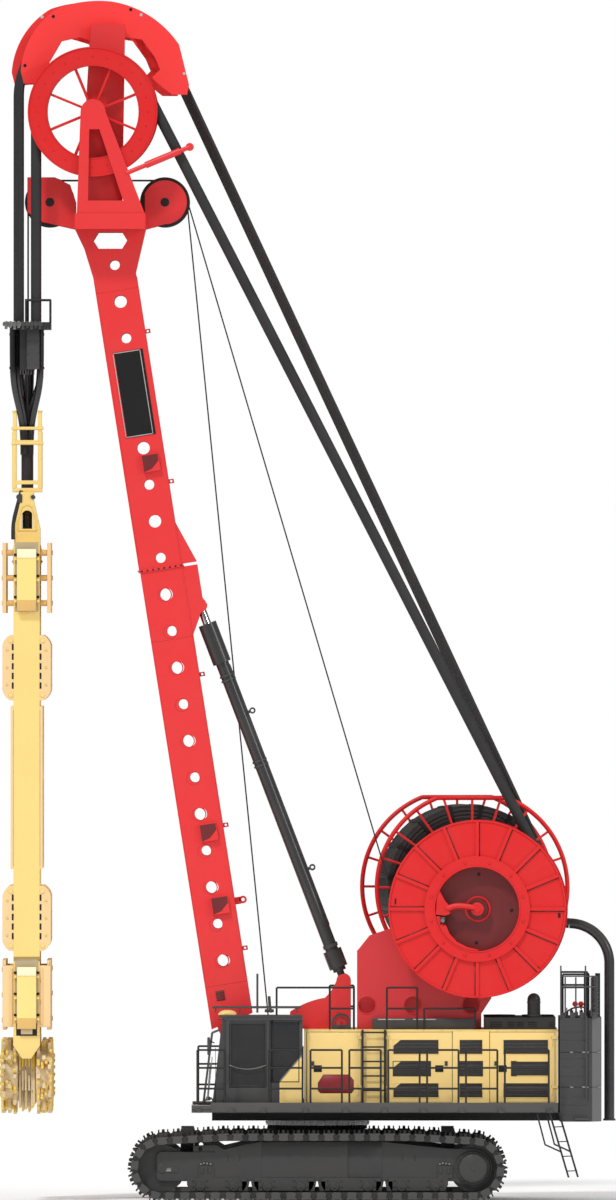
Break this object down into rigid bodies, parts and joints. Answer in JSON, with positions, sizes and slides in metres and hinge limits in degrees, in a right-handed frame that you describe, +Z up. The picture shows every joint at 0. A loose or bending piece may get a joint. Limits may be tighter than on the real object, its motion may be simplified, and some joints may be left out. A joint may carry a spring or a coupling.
{
  "type": "trench cutter",
  "caption": "Trench cutter: crawler carrier with a leaning mast, two hose drums, hose guides and a hanging hydraulic cutter.",
  "frame": {"origin": "on the ground under the middle of the machine's length, in the carrier's plane of symmetry", "axes": "+Z up, -X towards the cutter (forward), +Y towards the machine's right"},
  "size_m": [12.758, 5.51, 24.9328],
  "materials": {
    "track_left": "rough",
    "track_frame_left": "satin",
    "track_wheels_left": "rough",
    "track_right": "rough",
    "track_frame_right": "satin",
    "track_wheels_right": "rough",
    "carbody": "satin",
    "slew_ring": "worn",
    "platform": "satin",
    "walkways": "satin",
    "house_shell": "satin",
    "house_door_front": "satin",
    "house_door_middle": "satin",
    "house_door_rear": "satin",
    "engine_block": "rough",
    "cab_shell": "satin",
    "cab_door": "satin",
    "cab_door_glass": "clear",
    "cab_glass": "clear",
    "cab_seat": "matt",
    "fuel_tank": "satin",
    "counterweight": "satin",
    "handrails": "satin",
    "ladders": "satin",
    "roof_unit": "satin",
    "pivot_brackets": "gloss",
    "winches": "gloss",
    "drum_stands": "gloss",
    "mud_drum": "satin",
    "mud_winding": "matt",
    "hose_drum": "gloss",
    "hose_winding": "matt",
    "slurry_pipe": "satin",
    "rear_lines": "matt",
    "mast_lower": "gloss",
    "mast_upper": "gloss",
    "sign_plate": "gloss",
    "mast_head": "gloss",
    "front_sheaves": "gloss",
    "rear_sheaves": "gloss",
    "hose_stand": "gloss",
    "arch_guide": "gloss",
    "hose_wheel": "gloss",
    "head_lines": "matt",
    "luff_barrels": "gloss",
    "luff_rods": "polished",
    "front_lines": "matt",
    "cutter_column": "satin",
    "cutter_head": "satin",
    "hose_bundle": "matt",
    "cutter_guides": "satin",
    "cutting_wheels_near": "satin",
    "cutting_wheels_far": "satin"
  },
  "bodies": {
    "undercarriage": {"track_left": "track_left", "track_frame_left": "track_frame_left", "track_wheels_left": "track_wheels_left", "track_right": "track_right", "track_frame_right": "track_frame_right", "track_wheels_right": "track_wheels_right", "carbody": "carbody", "slew_ring": "slew_ring"},
    "upper": {"platform": "platform", "walkways": "walkways", "house_shell": "house_shell", "engine_block": "engine_block", "cab_shell": "cab_shell", "cab_glass": "cab_glass", "cab_seat": "cab_seat", "fuel_tank": "fuel_tank", "counterweight": "counterweight", "handrails": "handrails", "ladders": "ladders", "roof_unit": "roof_unit", "pivot_brackets": "pivot_brackets", "winches": "winches", "drum_stands": "drum_stands", "slurry_pipe": "slurry_pipe", "rear_lines": "rear_lines"},
    "door_front": {"house_door_front": "house_door_front"},
    "door_middle": {"house_door_middle": "house_door_middle"},
    "door_rear": {"house_door_rear": "house_door_rear"},
    "cab_door": {"cab_door": "cab_door", "cab_door_glass": "cab_door_glass"},
    "mud_drum": {"mud_drum": "mud_drum", "mud_winding": "mud_winding"},
    "hose_drum": {"hose_drum": "hose_drum", "hose_winding": "hose_winding"},
    "mast": {"mast_lower": "mast_lower", "mast_upper": "mast_upper", "sign_plate": "sign_plate", "mast_head": "mast_head", "hose_stand": "hose_stand", "arch_guide": "arch_guide", "head_lines": "head_lines"},
    "front_sheaves": {"front_sheaves": "front_sheaves"},
    "rear_sheaves": {"rear_sheaves": "rear_sheaves"},
    "hose_wheel": {"hose_wheel": "hose_wheel"},
    "luff_barrels": {"luff_barrels": "luff_barrels"},
    "luff_rods": {"luff_rods": "luff_rods"},
    "hang": {"front_lines": "front_lines"},
    "cutter": {"cutter_column": "cutter_column", "cutter_head": "cutter_head", "hose_bundle": "hose_bundle", "cutter_guides": "cutter_guides"},
    "cutting_wheels_near": {"cutting_wheels_near": "cutting_wheels_near"},
    "cutting_wheels_far": {"cutting_wheels_far": "cutting_wheels_far"}
  },
  "joints": [
    {"name": "slew", "type": "hinge", "parent": "undercarriage", "child": "upper", "pos_m": [0.166, 0, 1.68], "axis": [0, 0, 1], "continuous": true},
    {"name": "mast_luff", "type": "hinge", "parent": "upper", "child": "mast", "pos_m": [-1.564, 0, 3.328], "axis": [0, -1, 0], "range_deg": [0, 5], "deforming": ["rear_lines"]},
    {"name": "luff_barrel_swing", "type": "hinge", "parent": "upper", "child": "luff_barrels", "pos_m": [0.711, 0, 4.56], "axis": [0, -1, 0], "range_deg": [0, 5.15]},
    {"name": "luff_rod_slide", "type": "slide", "parent": "luff_barrels", "child": "luff_rods", "axis": [-0.3572, 0, 0.934], "range_m": [0, 0.2259]},
    {"name": "cutter_hang", "type": "hinge", "parent": "mast", "child": "hang", "pos_m": [-5.398, 0, 20.748], "axis": [0, -1, 0], "range_deg": [-5, 0]},
    {"name": "cutter_hoist", "type": "slide", "parent": "hang", "child": "cutter", "axis": [0, 0, 1], "range_m": [-1.4, 0], "deforming": ["front_lines"]},
    {"name": "cutting_wheels_near_turn", "type": "hinge", "parent": "cutter", "child": "cutting_wheels_near", "pos_m": [-5.869, -0.82, 2.6], "axis": [1, 0, 0], "continuous": true},
    {"name": "cutting_wheels_far_turn", "type": "hinge", "parent": "cutter", "child": "cutting_wheels_far", "pos_m": [-5.869, 0.82, 2.6], "axis": [1, 0, 0], "continuous": true},
    {"name": "mud_drum_turn", "type": "hinge", "parent": "upper", "child": "mud_drum", "pos_m": [3.498, -1.42, 6.072], "axis": [0.0523, 0.9986, 0], "continuous": true},
    {"name": "hose_drum_turn", "type": "hinge", "parent": "upper", "child": "hose_drum", "pos_m": [3.234, 1.34, 6.5], "axis": [-0.1357, 0.9907, 0], "continuous": true},
    {"name": "hose_wheel_turn", "type": "hinge", "parent": "mast", "child": "hose_wheel", "pos_m": [-4.493, -1, 22.614], "axis": [0.0523, 0.9986, 0], "continuous": true},
    {"name": "front_sheaves_turn", "type": "hinge", "parent": "mast", "child": "front_sheaves", "pos_m": [-5.398, 0, 20.748], "axis": [0, 1, 0], "continuous": true},
    {"name": "rear_sheaves_turn", "type": "hinge", "parent": "mast", "child": "rear_sheaves", "pos_m": [-3.006, 0, 20.748], "axis": [0, 1, 0], "continuous": true},
    {"name": "door_front_hinge", "type": "hinge", "parent": "upper", "child": "door_front", "pos_m": [1.011, -1.6, 2.8], "axis": [0, 0, 1], "range_deg": [0, 35]},
    {"name": "door_middle_hinge", "type": "hinge", "parent": "upper", "child": "door_middle", "pos_m": [1.651, -1.6, 2.8], "axis": [0, 0, -1], "range_deg": [0, 32]},
    {"name": "door_rear_hinge", "type": "hinge", "parent": "upper", "child": "door_rear", "pos_m": [5.036, -1.6, 2.8], "axis": [0, 0, 1], "range_deg": [0, 32]},
    {"name": "cab_door_slide", "type": "slide", "parent": "upper", "child": "cab_door", "axis": [1, 0, 0], "range_m": [0, 0.7]}
  ],
  "couplings": [
    {"joint": "luff_barrel_swing", "follows": "mast_luff", "ratio": 1.0263},
    {"joint": "luff_rod_slide", "follows": "mast_luff", "m_per_rad": 2.5767},
    {"joint": "cutter_hang", "follows": "mast_luff", "ratio": -1}
  ]
}
